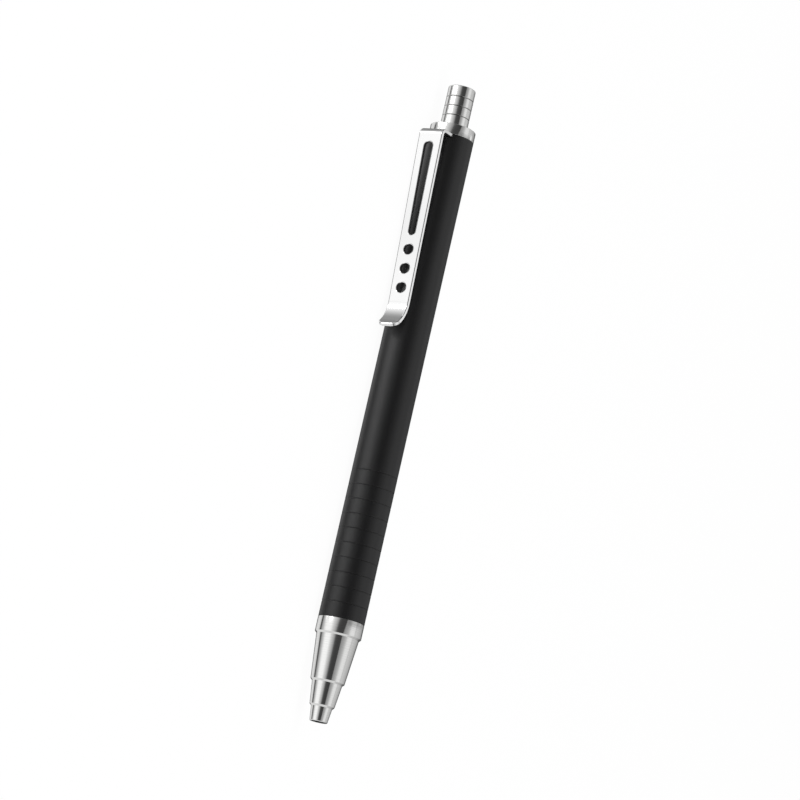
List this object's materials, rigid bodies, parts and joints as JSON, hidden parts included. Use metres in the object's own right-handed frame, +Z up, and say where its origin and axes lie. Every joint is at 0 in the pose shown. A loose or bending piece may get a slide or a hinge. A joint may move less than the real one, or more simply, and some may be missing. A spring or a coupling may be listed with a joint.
{
  "type": "retractable ballpoint pen",
  "caption": "Slim retractable ballpoint pen with a grooved black barrel, a stepped steel nose, a steel push button and a slotted steel pocket clip.",
  "frame": {"origin": "centre of the pen's box, at the height of the surface that it lies on", "axes": "+X along the pen towards its writing tip, +Z up, and the pocket clip looks towards -Y and down to that surface"},
  "size_m": [0.132, 0.013, 0.0093],
  "materials": {
    "black_barrel": "black anodised, satin",
    "turned_steel": "stainless steel, fine turned and polished",
    "clip_steel": "stainless strip, polished bright",
    "spring_steel": "plain steel, drawn",
    "hard_metal": "hard metal ball, polished",
    "brass": "machined brass",
    "cam_plastic": "natural acetal",
    "red_plastic": "red acetal",
    "rubber": "black rubber",
    "ink": "black ink, standing for a thick liquid",
    "grease": "clear yellowish grease"
  },
  "bodies": {
    "barrel_body": {"barrel": "black_barrel", "nose_cone": "turned_steel", "nose_sealing_ring": "rubber", "barrel_front_insert": "brass", "barrel_rear_insert": "brass", "top_collar": "turned_steel", "pocket_clip": "clip_steel", "clip_washer": "spring_steel", "cam_sleeve": "cam_plastic", "return_spring": "spring_steel"},
    "button": {"push_button": "turned_steel", "plunger": "cam_plastic"},
    "rotor": {"rotor_cam": "red_plastic"},
    "refill": {"refill_point": "brass", "refill_neck": "cam_plastic", "refill_tube": "spring_steel", "ink_column": "ink", "ink_follower": "grease", "refill_rear_plug": "red_plastic"},
    "ball": {"writing_ball": "hard_metal"}
  },
  "joints": [
    {"name": "button_press", "type": "slide", "parent": "barrel_body", "child": "button", "axis": [1, 0, 0], "range_m": [0, 0.006], "stiffness_N_per_m": 350, "springref_m": -0.006},
    {"name": "rotor_slide", "type": "slide", "parent": "barrel_body", "child": "rotor", "axis": [1, 0, 0], "range_m": [0, 0.006]},
    {"name": "refill_slide", "type": "slide", "parent": "barrel_body", "child": "refill", "axis": [1, 0, 0], "range_m": [0, 0.006], "deforming": ["return_spring"]},
    {"name": "ball_roll", "type": "hinge", "parent": "refill", "child": "ball", "pos_m": [0.0633, 0.0018, 0.00466], "axis": [0, 0, 1], "continuous": true}
  ],
  "couplings": [
    {"joint": "rotor_slide", "follows": "button_press", "ratio": 1},
    {"joint": "refill_slide", "follows": "button_press", "ratio": 1}
  ]
}
